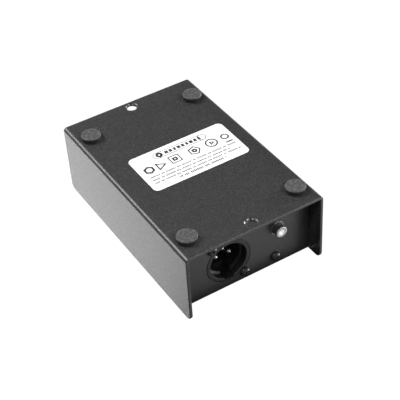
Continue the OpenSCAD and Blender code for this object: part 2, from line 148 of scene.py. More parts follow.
def sky_span(value, low, high, to_low, to_high):
    """Maps a value socket from one span to another, smoothly."""
    span = sky.new("ShaderNodeMapRange")
    span.interpolation_type = "SMOOTHSTEP"
    for name, number in (("From Min", low), ("From Max", high), ("To Min", to_low), ("To Max", to_high)):
        span.inputs[name].default_value = number
    sky_links.new(value, span.inputs["Value"])
    return span.outputs["Result"]


direction = sky.new("ShaderNodeTexCoord").outputs["Generated"]
height = sky.new("ShaderNodeSeparateXYZ")
sky_links.new(direction, height.inputs[0])
above = sky_span(height.outputs["Z"], -0.25, 0.15, 0, 1)
towards_side = sky.new("ShaderNodeVectorMath")
towards_side.operation = "DOT_PRODUCT"
towards_side.inputs[1].default_value = DIM_SIDE
sky_links.new(direction, towards_side.inputs[0])
dimming = sky_span(towards_side.outputs["Value"], -0.1, 0.5, 1, DIM_TO)
colour = sky.new("ShaderNodeMix")
colour.data_type = "RGBA"
colour.inputs["A"].default_value = SKY_BELOW
colour.inputs["B"].default_value = SKY_ABOVE
sky_links.new(above, colour.inputs["Factor"])
sky_links.new(colour.outputs["Result"], sky["Background"].inputs["Color"])
sky_links.new(dimming, sky["Background"].inputs["Strength"])

# %% Backdrop
backdrop = sky.new("ShaderNodeBackground")
backdrop.inputs["Color"].default_value = BACKDROP
seen_directly = sky.new("ShaderNodeLightPath")
choice = sky.new("ShaderNodeMixShader")
sky_links.new(seen_directly.outputs["Is Camera Ray"], choice.inputs["Fac"])
sky_links.new(sky["Background"].outputs[0], choice.inputs[1])
sky_links.new(backdrop.outputs[0], choice.inputs[2])
sky_links.new(choice.outputs[0], sky["World Output"].inputs["Surface"])
bpy.context.scene.view_settings.view_transform = "Standard"
print("sky:", len(sky), "nodes")

# %% Light panels


def panel_light(name, place, size, radiance):
    """A soft square panel in metres that faces the box and doesn't show itself."""
    lamp = bpy.data.lights.new(name, "AREA")
    lamp.size = size
    lamp.energy = radiance * math.pi * size ** 2
    light = bpy.data.objects.new(name, lamp)
    bpy.context.scene.collection.objects.link(light)
    light.location = place
    towards = (cad_low + cad_high) / 2 - light.location
    light.rotation_mode = "QUATERNION"
    light.rotation_quaternion = towards.to_track_quat("-Z", "Y")
    light.visible_camera = False
    return light


panel_light("wall_sheen", (0.2, 0.95, 0.68), 0.72, 3.8)
panel_light("front_side", (-0.8, -0.62, 0.3), 0.55, 6.6)
panel_light("key_below", (0.44, 0.62, -0.68), 0.5, 15.5)
panel_light("edge_light", (-0.36, -0.66, -0.66), 0.35, 19)
panel_light("hole_light_one", (0.62, -0.32, -0.72), 0.12, 60)
panel_light("hole_light_two", (-0.98, 0.06, -0.2), 0.2, 75)

# %% [markdown]
# ## A black card
# A studio often hangs a black card close to a shiny thing, just out of view, so that part of
# it reflects black instead of white. A narrow card over the recess deepens its far side. It is a
# prop: it doesn't show itself, and it isn't part of the box.

# %% Card
CARD_NEAR = 0.7 * MM
CARD_DEPTH = 9.5 * MM
CARD_OVER_COVER = 1.5 * MM
card_mesh = bmesh.new()
bmesh.ops.create_grid(card_mesh, x_segments=1, y_segments=1, size=0.5)
bmesh.ops.scale(card_mesh, vec=(case_high.x - case_low.x, CARD_DEPTH, 1), verts=card_mesh.verts)
card_middle = (0, cover_low.y + CARD_OVER_COVER - CARD_DEPTH / 2, case_high.z + CARD_NEAR)
bmesh.ops.translate(card_mesh, vec=card_middle, verts=card_mesh.verts)
card_data = bpy.data.meshes.new("black_card")
card_mesh.to_mesh(card_data)
card_mesh.free()
card = bpy.data.objects.new("black_card", card_data)
bpy.context.scene.collection.objects.link(card)
card.visible_camera = False
card_paint = bpy.data.materials.new("card_paint")
card_paint.use_nodes = True
card_paint.node_tree.nodes["Principled BSDF"].inputs["Base Color"].default_value = (0.01, 0.01, 0.01, 1)
card_paint.node_tree.nodes["Principled BSDF"].inputs["Roughness"].default_value = 0.9
card.data.materials.append(card_paint)
print("card:", round(CARD_DEPTH / MM, 1), "mm deep")

# %% [markdown]
# ## The floor
# The floor is a large pale sheet at the height of the feet. The camera looks up from below it, so its
# underside is clear. Light for the label has to come up through it, so the floor has an opening under
# the box. A patch fills the opening for the camera and lets light pass; its middle is a painted shadow,
# dark paint for the shade under a low box. Far away the floor fades into the backdrop, so no horizon shows.

# %% Floor paint
FLOOR_NEAR = 0.5
FLOOR_FAR = 1.7
floor_paint = bpy.data.materials.new("floor_paint")
floor_paint.use_nodes = True
paint = floor_paint.node_tree.nodes
paint_links = floor_paint.node_tree.links
paint["Principled BSDF"].inputs["Base Color"].default_value = (0.88, 0.88, 0.87, 1)
paint["Principled BSDF"].inputs["Roughness"].default_value = 0.7
which_side = paint.new("ShaderNodeNewGeometry")
spot_on_floor = paint.new("ShaderNodeTexCoord")
how_far = paint.new("ShaderNodeVectorMath")
how_far.operation = "LENGTH"
fade = paint.new("ShaderNodeMapRange")
fade.inputs["From Min"].default_value = FLOOR_NEAR
fade.inputs["From Max"].default_value = FLOOR_FAR
clearness = paint.new("ShaderNodeMath")
clearness.operation = "MAXIMUM"
clear = paint.new("ShaderNodeBsdfTransparent")
either = paint.new("ShaderNodeMixShader")
paint_links.new(spot_on_floor.outputs["Object"], how_far.inputs[0])
paint_links.new(how_far.outputs["Value"], fade.inputs["Value"])
paint_links.new(fade.outputs["Result"], clearness.inputs[0])
paint_links.new(which_side.outputs["Backfacing"], clearness.inputs[1])
paint_links.new(clearness.outputs["Value"], either.inputs["Fac"])
paint_links.new(paint["Principled BSDF"].outputs[0], either.inputs[1])
paint_links.new(clear.outputs[0], either.inputs[2])
paint_links.new(either.outputs[0], paint["Material Output"].inputs["Surface"])
print("floor fades from", FLOOR_NEAR, "to", FLOOR_FAR, "m")

# %% Floor and patch
FLOOR_HALF = 2.0
SIDE_MARGIN = 3.5 * MM
END_MARGIN = 6 * MM
FLOOR_DROP = 0.05 * MM
SHADE_START = 6 * MM
# The patch's middle takes this dark paint: a painted shadow for the shade under the box.
painted_shadow_paint = floor_paint.copy()
painted_shadow_paint.name = "floor_painted_shadow"
painted_shadow_paint.node_tree.nodes["Principled BSDF"].inputs["Base Color"].default_value = (0.2, 0.2, 0.2, 1)
opening_half = Vector((case_high.x + SIDE_MARGIN, case_high.y + END_MARGIN, 0))


def staged(bm, name):
    """A painted floor piece from a bmesh."""
    data = bpy.data.meshes.new(name)
    bmesh.ops.translate(bm, vec=(0, 0, -FLOOR_DROP), verts=bm.verts)
    bm.to_mesh(data)
    bm.free()
    piece = bpy.data.objects.new(name, data)
    bpy.context.scene.collection.objects.link(piece)
    piece.data.materials.append(floor_paint)
    return piece


around = bmesh.new()
bmesh.ops.create_grid(around, x_segments=1, y_segments=1, size=FLOOR_HALF)
bmesh.ops.inset_individual(around, faces=around.faces, thickness=FLOOR_HALF / 2, use_even_offset=True)
opening = min(around.faces, key=lambda f: f.calc_center_median().length)
bmesh.ops.scale(
    around, verts=opening.verts,
    vec=(2 * opening_half.x / FLOOR_HALF, 2 * opening_half.y / FLOOR_HALF, 1))
bmesh.ops.delete(around, geom=[opening], context="FACES_ONLY")
staged(around, "floor")

patch = bmesh.new()
bmesh.ops.create_grid(patch, x_segments=1, y_segments=1, size=1)
bmesh.ops.scale(patch, verts=patch.verts, vec=(opening_half.x, opening_half.y, 1))
bmesh.ops.inset_individual(
    patch, faces=patch.faces, thickness=END_MARGIN + SHADE_START, use_even_offset=True)
# The middle face takes the second paint, the painted shadow.
min(patch.faces, key=lambda f: f.calc_center_median().length).material_index = 1
floor_patch = staged(patch, "floor_patch")
floor_patch.data.materials.append(painted_shadow_paint)
floor_patch.visible_shadow = False
floor_patch.visible_diffuse = False
floor_patch.visible_glossy = False
floor_patch.visible_transmission = False
print("floor opening:", [round(2 * side / MM) for side in opening_half[:2]], "mm")

# %% [markdown]
# ## Finishes
# A finish is a Principled shader with its colour and roughness, and then the small things that make
# it real: a grain that tilts the surface, and blotches that vary its colour. Both read Object
# coordinates, which are metres on the part itself, so a grain of 0.4 mm is 0.4 mm everywhere.

# %% Shader helpers


def finish(name, colour, roughness, metallic=0.0, specular=0.5):
    """A new material with one Principled shader."""
    material = bpy.data.materials.new(name)
    material.use_nodes = True
    shader = material.node_tree.nodes["Principled BSDF"]
    shader.inputs["Base Color"].default_value = (*colour, 1)
    shader.inputs["Roughness"].default_value = roughness
    shader.inputs["Metallic"].default_value = metallic
    shader.inputs["Specular IOR Level"].default_value = specular
    return material


def noise(material, size, detail=2.0, stretch=(1, 1, 1)):
    """A noise pattern whose blobs are about size metres across; returns its output socket."""
    nodes = material.node_tree.nodes
    links = material.node_tree.links
    place = nodes.new("ShaderNodeTexCoord")
    mapping = nodes.new("ShaderNodeMapping")
    mapping.inputs["Scale"].default_value = stretch
    pattern = nodes.new("ShaderNodeTexNoise")
    pattern.inputs["Scale"].default_value = 1 / size
    pattern.inputs["Detail"].default_value = detail
    links.new(place.outputs["Object"], mapping.inputs["Vector"])
    links.new(mapping.outputs["Vector"], pattern.inputs["Vector"])
    return pattern.outputs["Fac"]


def grain(material, size, depth, strength=0.5, stretch=(1, 1, 1)):
    """Tilts the surface with bumps of that size and depth, on top of any bumps it has."""
    nodes = material.node_tree.nodes
    links = material.node_tree.links
    shader = nodes["Principled BSDF"]
    bump = nodes.new("ShaderNodeBump")
    bump.inputs["Distance"].default_value = depth
    bump.inputs["Strength"].default_value = strength
    if shader.inputs["Normal"].links:
        links.new(shader.inputs["Normal"].links[0].from_socket, bump.inputs["Normal"])
    links.new(noise(material, size, stretch=stretch), bump.inputs["Height"])
    links.new(bump.outputs["Normal"], shader.inputs["Normal"])


RICH = 3.0    # the detail of a blotchy pattern


def blotches(material, size, other, low=0.4, high=0.6, stretch=(1, 1, 1)):
    """Fades the base colour to another one over a noise pattern, between two of its levels."""
    nodes = material.node_tree.nodes
    links = material.node_tree.links
    shader = nodes["Principled BSDF"]
    ramp = nodes.new("ShaderNodeValToRGB")
    ramp.color_ramp.elements[0].position = low
    ramp.color_ramp.elements[0].color = shader.inputs["Base Color"].default_value
    ramp.color_ramp.elements[1].position = high
    ramp.color_ramp.elements[1].color = (*other, 1)
    links.new(noise(material, size, RICH, stretch), ramp.inputs["Fac"])
    links.new(ramp.outputs["Color"], shader.inputs["Base Color"])


def painted_shade_above(material, low, high, other):
    """Fades the base colour to another one between two heights, as painted shade on what lies above them.
    """
    nodes = material.node_tree.nodes
    links = material.node_tree.links
    colour = nodes["Principled BSDF"].inputs["Base Color"]
    parts = nodes.new("ShaderNodeSeparateXYZ")
    span = nodes.new("ShaderNodeMapRange")
    span.inputs["From Min"].default_value = low
    span.inputs["From Max"].default_value = high
    mix = nodes.new("ShaderNodeMix")
    mix.data_type = "RGBA"
    mix.inputs["B"].default_value = (*other, 1)
    links.new(nodes.new("ShaderNodeTexCoord").outputs["Object"], parts.inputs[0])
    links.new(parts.outputs["Z"], span.inputs["Value"])
    links.new(span.outputs["Result"], mix.inputs["Factor"])
    links.new(colour.links[0].from_socket, mix.inputs["A"])
    links.new(mix.outputs["Result"], colour)


def uneven_gloss(material, size, low, high):
    """Lets the roughness wander between two values."""
    nodes = material.node_tree.nodes
    span = nodes.new("ShaderNodeMapRange")
    span.inputs["From Min"].default_value = 0.3
    span.inputs["From Max"].default_value = 0.7
    span.inputs["To Min"].default_value = low
    span.inputs["To Max"].default_value = high
    links = material.node_tree.links
    links.new(noise(material, size, RICH), span.inputs["Value"])
    links.new(span.outputs["Result"], nodes["Principled BSDF"].inputs["Roughness"])


# %% [markdown]
# ### Powder coat
# The case is sprayed with plastic powder and baked. The film flows almost flat, which leaves a fine
# grain and a soft sheen. Here two grains lie over each other: a fine one that sparkles, and a slow
# one that bends reflections a little, as orange peel does. A few lighter specks break up the black.

# %% Powder coat
powder_coat = finish("powder_coat", (0.014, 0.0142, 0.0148), 0.4)
blotches(powder_coat, 0.4 * MM, (0.06, 0.06, 0.06), 0.46, 0.66)
grain(powder_coat, 1.6 * MM, 0.03 * MM, 0.25)
grain(powder_coat, 0.45 * MM, 0.05 * MM, 0.65)
uneven_gloss(powder_coat, 1.2 * MM, 0.37, 0.43)
print("powder coat:", len(powder_coat.node_tree.nodes), "nodes")

# %% [markdown]
# ### Rubber, film and plastics
# The feet are matt rubber, whose tread is dusty and a little blotched, while their sides are painted
# nearly black as painted shade.
# The label is a smooth white film with dark ink. The connector and the jacks are moulded nylon filled
# with glass, which has a fine dull grain. The connector's insert, deep in its bore, is a darker copy of
# it as painted shade.

# %% Rubber, film and plastics
foot_rubber = finish("foot_rubber", (0.04, 0.04, 0.04), 0.62)
blotches(foot_rubber, 1.4 * MM, (0.08, 0.08, 0.078), 0.45, 0.65)
grain(foot_rubber, 0.7 * MM, 0.05 * MM, 0.6)
# Painted shade: the feet's sides fade nearly black above the tread.
painted_shade_above(foot_rubber, 0.2 * MM, 0.6 * MM, (0.008, 0.008, 0.008))

label_film = finish("label_film", (0.84, 0.84, 0.84), 0.4)
blotches(label_film, 6 * MM, (0.81, 0.81, 0.81))
grain(label_film, 1.5 * MM, 0.004 * MM, 0.3)

label_ink = finish("label_ink", (0.03, 0.03, 0.032), 0.5)
blotches(label_ink, 0.3 * MM, (0.07, 0.07, 0.07), 0.5, 0.75)

moulded_nylon = finish("moulded_nylon", (0.012, 0.0122, 0.0126), 0.42, specular=0.34)
blotches(moulded_nylon, 1.0 * MM, (0.02, 0.02, 0.0205))
grain(moulded_nylon, 0.25 * MM, 0.01 * MM, 0.4)

# A darker, duller copy of the nylon for the insert deep in the bore: painted shade.
insert_nylon_painted_shade = finish("insert_nylon_painted_shade", (0.004, 0.004, 0.0042), 0.5, specular=0.2)
blotches(insert_nylon_painted_shade, 1.0 * MM, (0.007, 0.007, 0.007))
grain(insert_nylon_painted_shade, 0.25 * MM, 0.01 * MM, 0.4)
soft_finishes = (foot_rubber, label_film, label_ink, moulded_nylon, insert_nylon_painted_shade)
print("soft finishes:", [material.name for material in soft_finishes])

# %% [markdown]
# ### Metals
# A metal's colour is the colour of its reflection, so the base colour is light and Metallic is 1.
# Black chrome is a dark mirror. Nickel is softer and a little warm. The black screws are steel with a
# thin dark oxide, which stays dark and lets the edges catch the light.

# %% Metals
black_chrome = finish("black_chrome", (0.2, 0.2, 0.205), 0.28, metallic=1.0)
uneven_gloss(black_chrome, 1.5 * MM, 0.25, 0.33)
grain(black_chrome, 0.8 * MM, 0.002 * MM, 0.2)

nickel = finish("nickel", (0.56, 0.55, 0.52), 0.3, metallic=1.0)
uneven_gloss(nickel, 2 * MM, 0.26, 0.36)
grain(nickel, 0.5 * MM, 0.003 * MM, 0.3, stretch=(1, 6, 1))

black_oxide = finish("black_oxide", (0.01, 0.01, 0.011), 0.22)
blotches(black_oxide, 0.6 * MM, (0.03, 0.029, 0.028))
grain(black_oxide, 0.3 * MM, 0.006 * MM, 0.4)

silver_plate = finish("silver_plate", (0.42, 0.4, 0.37), 0.24, metallic=1.0)
uneven_gloss(silver_plate, 1 * MM, 0.2, 0.32)
print("metals:", [material.name for material in (black_chrome, nickel, black_oxide, silver_plate)])

# %% [markdown]
# ## Shaping helpers
# Most small parts are turned on a lathe, so one helper spins an outline. The sheet parts are folded,
# so another folds a sheet into a U. Holes are cut with a Boolean modifier, because a hole through a
# sheet is two rims and a wall that would take many steps by hand. Real edges are never razor sharp,
# so a last helper bevels each sharp edge and lets large flat faces keep their own shading.

# %% Making an object
TINY = 0.001 * MM


def to_object(bm, name):
    """Turns a bmesh into an object at the origin."""
    data = bpy.data.meshes.new(name)
    bm.to_mesh(data)
    bm.free()
    piece = bpy.data.objects.new(name, data)
    bpy.context.scene.collection.objects.link(piece)
    return piece


def applied(piece):
    """Applies the piece's modifiers to its mesh."""
    bpy.context.view_layer.update()
    seen = piece.evaluated_get(bpy.context.evaluated_depsgraph_get())
    made = bpy.data.meshes.new_from_object(seen)
    piece.modifiers.clear()
    piece.data = made
    return piece


def combine(piece, tool, operation="DIFFERENCE"):
    """Cuts the tool out of the piece, or adds it with UNION, and takes the tool away."""
    boolean = piece.modifiers.new("combine", "BOOLEAN")
    boolean.operation = operation
    boolean.solver = "EXACT"
    boolean.object = tool
    applied(piece)
    bpy.data.objects.remove(tool)
    return piece


# %% Turning


def lathe(outline, steps=64, closed=False):
    """Spins (radius, height) points about Z. An outline starts and ends on the axis, or is closed."""
    bm = bmesh.new()
    rim = [bm.verts.new((r, 0, h)) for r, h in outline]
    pairs = list(zip(rim, rim[1:]))
    if closed:
        pairs.append((rim[-1], rim[0]))
    edges = [bm.edges.new(pair) for pair in pairs]
    bmesh.ops.spin(
        bm, geom=rim + edges, cent=(0, 0, 0), axis=(0, 0, 1),
        angle=math.tau, steps=steps, use_merge=True)
    bmesh.ops.remove_doubles(bm, verts=bm.verts, dist=TINY)
    bmesh.ops.recalc_face_normals(bm, faces=bm.faces)
    return bm


def place(bm, matrix):
    """Moves a bmesh and hands it back."""
    bmesh.ops.transform(bm, matrix=matrix, verts=bm.verts)
    return bm


FACE_FRONT = Matrix.Rotation(math.radians(90), 4, "X")    # +Z turns to -Y, +Y turns to +Z
FACE_REAR = Matrix.Rotation(math.radians(-90), 4, "X")    # +Z turns to +Y


def rod_cutter(radius, low, high, matrix):
    """A plain round cutter between two heights."""
    return to_object(
        place(lathe([(0, low), (radius, low), (radius, high), (0, high)]), matrix), "cutter")


# %% Blocks and edges


def block(size, centre):
    """A box of that size about a centre."""
    bm = bmesh.new()
    bmesh.ops.create_cube(bm, size=1)
    bmesh.ops.scale(bm, vec=size, verts=bm.verts)
    bmesh.ops.translate(bm, vec=centre, verts=bm.verts)
    return to_object(bm, "block")


SHARP = math.radians(32)


def soften(piece, width, segments=2):
    """Bevels each sharp edge, and weights the normals so that flat faces stay flat."""
    bm = bmesh.new()
    bm.from_mesh(piece.data)
    bmesh.ops.remove_doubles(bm, verts=bm.verts, dist=TINY)
    sharp = [e for e in bm.edges if len(e.link_faces) == 2 and e.calc_face_angle(0) > SHARP]
    bmesh.ops.bevel(
        bm, geom=sharp, offset=width, segments=segments, profile=0.5, affect="EDGES",
        material=-1, clamp_overlap=True)
    bmesh.ops.dissolve_degenerate(bm, dist=TINY, edges=bm.edges)
    bm.to_mesh(piece.data)
    bm.free()
    piece.data.shade_smooth()
    piece.data.set_sharp_from_angle(angle=math.radians(60))
    weighted = piece.modifiers.new("flat faces", "WEIGHTED_NORMAL")
    weighted.keep_sharp = True
    return piece


# %% [markdown]
# ## Handing a piece to the frame
# Each finished piece takes a material, rides on a body of the motion model and takes the place of a CAD
# part. One helper does all of it, and prints how far the piece's box is from the part's, which should be
# next to nothing.


def hand_over(piece, nodes, material, body="enclosure"):
    """Finishes a piece: material, body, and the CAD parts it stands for."""
    piece.data.materials.clear()
    piece.data.materials.append(material)
    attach(piece, body)
    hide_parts(*nodes)
    corners = [Vector(v.co) for v in piece.data.vertices]
    for axis in range(3):
        low = min(c[axis] for c in corners) - min(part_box(n)[0][axis] for n in nodes)
        high = max(c[axis] for c in corners) - max(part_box(n)[1][axis] for n in nodes)
        if max(abs(low), abs(high)) > 0.05 * MM:
            print("  ", piece.name, "XYZ"[axis], "off by", round(low / MM, 2), round(high / MM, 2))
    return piece


# %% [markdown]
# ## Folding sheet
# A press brake folds a flat blank, which leaves a round bend and the same thickness all the way. The
# helper does the same: a flat plane, two edges pulled up into walls, the folds bevelled round, the
# free corners rounded, and only then its thickness, so that the inside of each bend is true too.

# %% Folding


def folded_sheet(width, length, height, bend, corner):
    """A U of sheet that opens upwards, with its outer face on z = 0 and its walls at +-width / 2."""
    bm = bmesh.new()
    bmesh.ops.create_grid(bm, x_segments=1, y_segments=1, size=0.5)
    bmesh.ops.scale(bm, vec=(width, length, 1), verts=bm.verts)
    folds = [e for e in bm.edges if abs(e.verts[0].co.x - e.verts[1].co.x) < TINY]
    raised = bmesh.ops.extrude_edge_only(bm, edges=folds)["geom"]
    tops = [g for g in raised if isinstance(g, bmesh.types.BMVert)]
    bmesh.ops.translate(bm, vec=(0, 0, height), verts=tops)
    bmesh.ops.bevel(
        bm, geom=tops, offset=corner, segments=6, profile=0.5, affect="VERTICES", material=-1)
    folds = [e for e in bm.edges if all(
        abs(v.co.z) < TINY and abs(abs(v.co.x) - width / 2) < TINY for v in e.verts)]
    bmesh.ops.bevel(
        bm, geom=folds, offset=bend, segments=8, profile=0.5, affect="EDGES", material=-1)
    bmesh.ops.recalc_face_normals(bm, faces=bm.faces)
    if min(bm.faces, key=lambda f: f.calc_center_median().z).normal.z > 0:
        bmesh.ops.reverse_faces(bm, faces=bm.faces)
    bmesh.ops.solidify(bm, geom=bm.faces[:], thickness=sheet)
    return bm


# %% [markdown]
# ## The base shell
# The base and the two side walls are one sheet. The base sticks out past the end panels, and each
# overhang has a countersunk hole, so the box can be screwed to a board. The cutter for a countersunk
# hole is one turned shape: a cone that narrows to the hole. Powder flows together in such a hollow and
# bakes smoother there, so the base's coat is a copy that loses its grain near the two holes.

# %% Coat round the holes


def smooth_at_holes(material, from_middle, radius, roughness):
    """Sets the roughness and takes the grain away, near two upright axes that cross the Y axis."""
    nodes = material.node_tree.nodes
    links = material.node_tree.links
    shader = nodes["Principled BSDF"]
    rough = shader.inputs["Roughness"].links[0].from_socket
    where = nodes.new("ShaderNodeTexCoord")
    parts = nodes.new("ShaderNodeSeparateXYZ")
    either_end = nodes.new("ShaderNodeMath")
    either_end.operation = "ABSOLUTE"
    from_axis = nodes.new("ShaderNodeMath")
    from_axis.operation = "SUBTRACT"
    from_axis.inputs[1].default_value = from_middle
    flat = nodes.new("ShaderNodeCombineXYZ")
    away = nodes.new("ShaderNodeVectorMath")
    away.operation = "LENGTH"
    near = nodes.new("ShaderNodeMapRange")
    near.inputs["From Min"].default_value = radius
    near.inputs["From Max"].default_value = 1.05 * radius
    mix = nodes.new("ShaderNodeMix")
    mix.inputs["A"].default_value = roughness
    links.new(where.outputs["Object"], parts.inputs[0])
    links.new(parts.outputs["Y"], either_end.inputs[0])
    links.new(either_end.outputs[0], from_axis.inputs[0])
    links.new(parts.outputs["X"], flat.inputs["X"])
    links.new(from_axis.outputs[0], flat.inputs["Y"])
    links.new(flat.outputs[0], away.inputs[0])
    links.new(away.outputs["Value"], near.inputs["Value"])
    links.new(near.outputs["Result"], mix.inputs["Factor"])
    links.new(rough, mix.inputs["B"])
    for bump in [n for n in nodes if n.type == "BUMP"]:
        fade = nodes.new("ShaderNodeMath")
        fade.operation = "MULTIPLY"
        fade.inputs[1].default_value = bump.inputs["Strength"].default_value
        links.new(near.outputs["Result"], fade.inputs[0])
        links.new(fade.outputs[0], bump.inputs["Strength"])
    links.new(mix.outputs["Result"], shader.inputs["Roughness"])


# %% Base shell
BEND = 1.8 * MM
WALL_CORNER = 3.0 * MM
HOLE_FROM_END = 4.0 * MM
HOLE_R = 2.25 * MM
SINK_R = 3.15 * MM
COAT_EDGE = 0.22 * MM
HOLE_ROUGHNESS = 0.3
case_size = case_high - case_low
base_coat = powder_coat.copy()
base_coat.name = "powder_coat_base"
smooth_at_holes(base_coat, case_size.y / 2 - HOLE_FROM_END, SINK_R + 0.05 * MM, HOLE_ROUGHNESS)
base_shell = to_object(
    place(
        folded_sheet(case_size.x, case_size.y, case_size.z, BEND, WALL_CORNER),
        Matrix.Translation((0, 0, case_low.z))),
    "case_base_shell")
for end in (-1, 1):
    hole = [(0, -1 * MM), (SINK_R, -1 * MM), (SINK_R, 0), (HOLE_R, SINK_R - HOLE_R),
            (HOLE_R, 3 * MM), (0, 3 * MM)]
    spot = Matrix.Translation((0, end * (case_size.y / 2 - HOLE_FROM_END), case_low.z))
    combine(base_shell, to_object(place(lathe(hole), spot), "cutter"))
soften(base_shell, 2 * COAT_EDGE, 4)
hand_over(base_shell, ["base_shell"], base_coat)
print("base shell:", len(base_shell.data.polygons), "faces")

# %% [markdown]
# ## The cover
# The cover and the two end panels are the second sheet, folded the other way and set down between
# the side walls. Its holes are where the parts that fill them are, so their places are read from
# those parts: the connector, the button, the ground screw and the two jacks.

# %% Cover
cover_size = cover_high - cover_low
COVER_BEND = 1.8 * MM
turned_over = Matrix.Rotation(math.pi, 4, "Y") @ Matrix.Rotation(math.pi / 2, 4, "Z")
cover = to_object(
    place(
        folded_sheet(cover_size.y, cover_size.x, cover_size.z, COVER_BEND, 0.4 * MM),
        Matrix.Translation((0, 0, cover_high.z)) @ turned_over),
    "case_cover")

socket_at = middle("xlr_housing")
socket_r = 11.1 * MM
button_at = middle("ground_lift_button")
ground_at = middle("ground_screw")
jacks_at = {name: middle(name + "_jack_bushing") for name in ("input", "link")}
FIT = 0.12 * MM
BUTTON_HOLE_R = 3.4 * MM
GROUND_HOLE_R = 1.6 * MM
JACK_HOLE_R = 4.85 * MM


def through(centre, radius):
    """A cutter along Y through one end panel."""
    depth = 3 * sheet
    y = math.copysign(cover_high.y - sheet / 2, centre.y)
    return rod_cutter(
        radius, -depth, depth, Matrix.Translation((centre.x, y, centre.z)) @ FACE_FRONT)


combine(cover, through(socket_at, socket_r + 2 * FIT))
combine(cover, through(button_at, BUTTON_HOLE_R))
combine(cover, through(ground_at, GROUND_HOLE_R))
for centre in jacks_at.values():
    combine(cover, through(centre, JACK_HOLE_R))

# %% Cover screw holes
SCREW_HEAD_R = 2.65 * MM
SINK_GAP = 0.1 * MM
screws_low, screws_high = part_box("cover_screws")
cover_screw_spots = [
    Vector((x, y, cover_high.z))
    for x in (screws_low.x + SCREW_HEAD_R, screws_high.x - SCREW_HEAD_R)
    for y in (screws_low.y + SCREW_HEAD_R, screws_high.y - SCREW_HEAD_R)]
for spot in cover_screw_spots:
    r = SCREW_HEAD_R + SINK_GAP
    sink = [(0, -4 * MM), (1.6 * MM, -4 * MM), (1.6 * MM, 1.6 * MM - r), (r, 0), (r, MM), (0, MM)]
    combine(cover, to_object(place(lathe(sink), Matrix.Translation(spot)), "cutter"))
soften(cover, COAT_EDGE, 3)
hand_over(cover, ["cover_chassis"], powder_coat)
print("cover:", len(cover.data.polygons), "faces")

# %% [markdown]
# ## The feet
# A glued rubber foot is a low disc with a rounded rim. Its top has a shallow dish with a raised rim,
# which keeps the mould's mark from rocking the box. All four share one outline.

# %% Feet
foot_size = extent("foot_front_left")
foot_r = foot_size.x / 2
foot_outline = [
    (0, 0.15 * MM), (foot_r - 1.3 * MM, 0.12 * MM), (foot_r - 1.0 * MM, 0.02 * MM),
    (foot_r - 0.75 * MM, 0), (foot_r - 0.3 * MM, 0.1 * MM), (foot_r - 0.08 * MM, 0.32 * MM),
    (foot_r, 0.65 * MM), (foot_r, foot_size.z), (0, foot_size.z)]
for name in ("front_left", "front_right", "rear_left", "rear_right"):
    node = "foot_" + name
    spot = middle(node)
    spot.z = 0
    foot = to_object(place(lathe(foot_outline, 72), Matrix.Translation(spot)), "rubber_" + node)
    soften(foot, 0.05 * MM, 1)
    hand_over(foot, [node], foot_rubber)
print("foot:", round(foot_size.x / MM, 1), "mm across")

# %% [markdown]
# ## The rating label
# The label is a white film with round corners, thinner than a hair's width seen from here but real:
# it has an edge. Its ink is a second piece that stands a hundredth of a millimetre proud, made of
# plain bars, rings and squares, because the real print's words and marks aren't copied.

# %% Label film
label_low, label_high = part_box("rating_label")
label_mid = (label_low + label_high) / 2
label_size = label_high - label_low
LABEL_CORNER = 2.5 * MM
INK = 0.012 * MM
film = bmesh.new()
bmesh.ops.create_cube(film, size=1)
bmesh.ops.scale(film, vec=label_size, verts=film.verts)
uprights = [e for e in film.edges if abs(e.verts[0].co.z - e.verts[1].co.z) > TINY]
bmesh.ops.bevel(
    film, geom=uprights, offset=LABEL_CORNER, segments=10, profile=0.5, affect="EDGES", material=-1)
label = to_object(place(film, Matrix.Translation(label_mid)), "label_film")
soften(label, 0.02 * MM, 1)
hand_over(label, ["rating_label"], label_film)
print("label:", [round(side / MM, 2) for side in label_size], "mm")

# %% Label ink


def ink_bar(bm, across, along, width, height):
    """A flat bar of ink; across runs with the lines of print and along runs up the label."""
    made = bmesh.ops.create_cube(bm, size=1)["verts"]
    bmesh.ops.scale(bm, vec=(width, height, INK), verts=made)
    bmesh.ops.translate(bm, vec=(-across, along, 0), verts=made)
    return made


def ink_ring(bm, across, along, radius, line, sides):
    """A ring of ink with that many sides."""
    turn = Matrix.Translation((-across, along, 0)) @ Matrix.Rotation(math.pi / sides, 4, "Z")
    inner = radius - line
    outline = [(inner, -INK / 2), (radius, -INK / 2), (radius, INK / 2), (inner, INK / 2)]
    ring = place(lathe(outline, sides, closed=True), turn)
    spare = bpy.data.meshes.new("spare")
    ring.to_mesh(spare)
    ring.free()
    bm.from_mesh(spare)
    bpy.data.meshes.remove(spare)


LABEL_WIDE = label_size.x
LABEL_TALL = label_size.y


def across_label(u, v):
    """Label millimetres, from the corner where its print starts, as places for the ink."""
    return u * MM - LABEL_WIDE / 2, LABEL_TALL / 2 - v * MM


ink = bmesh.new()
NAME_LINE = 4.6
for end_u in (13.4, 37.3):
    ink_ring(ink, *across_label(end_u, NAME_LINE), 2.15 * MM, 0.35 * MM, 32)
for side_v in (-1.97, 1.97):
    ink_bar(ink, *across_label(25.3, NAME_LINE + side_v), 23.9 * MM, 0.35 * MM)
ink_ring(ink, *across_label(14.4, NAME_LINE), 1.7 * MM, 1.2 * MM, 32)
for stamp in range(9):
    ink_bar(ink, *across_label(18.2 + 2.2 * stamp, NAME_LINE), (1.75 - 0.25 * (stamp % 3)) * MM, 2.0 * MM)

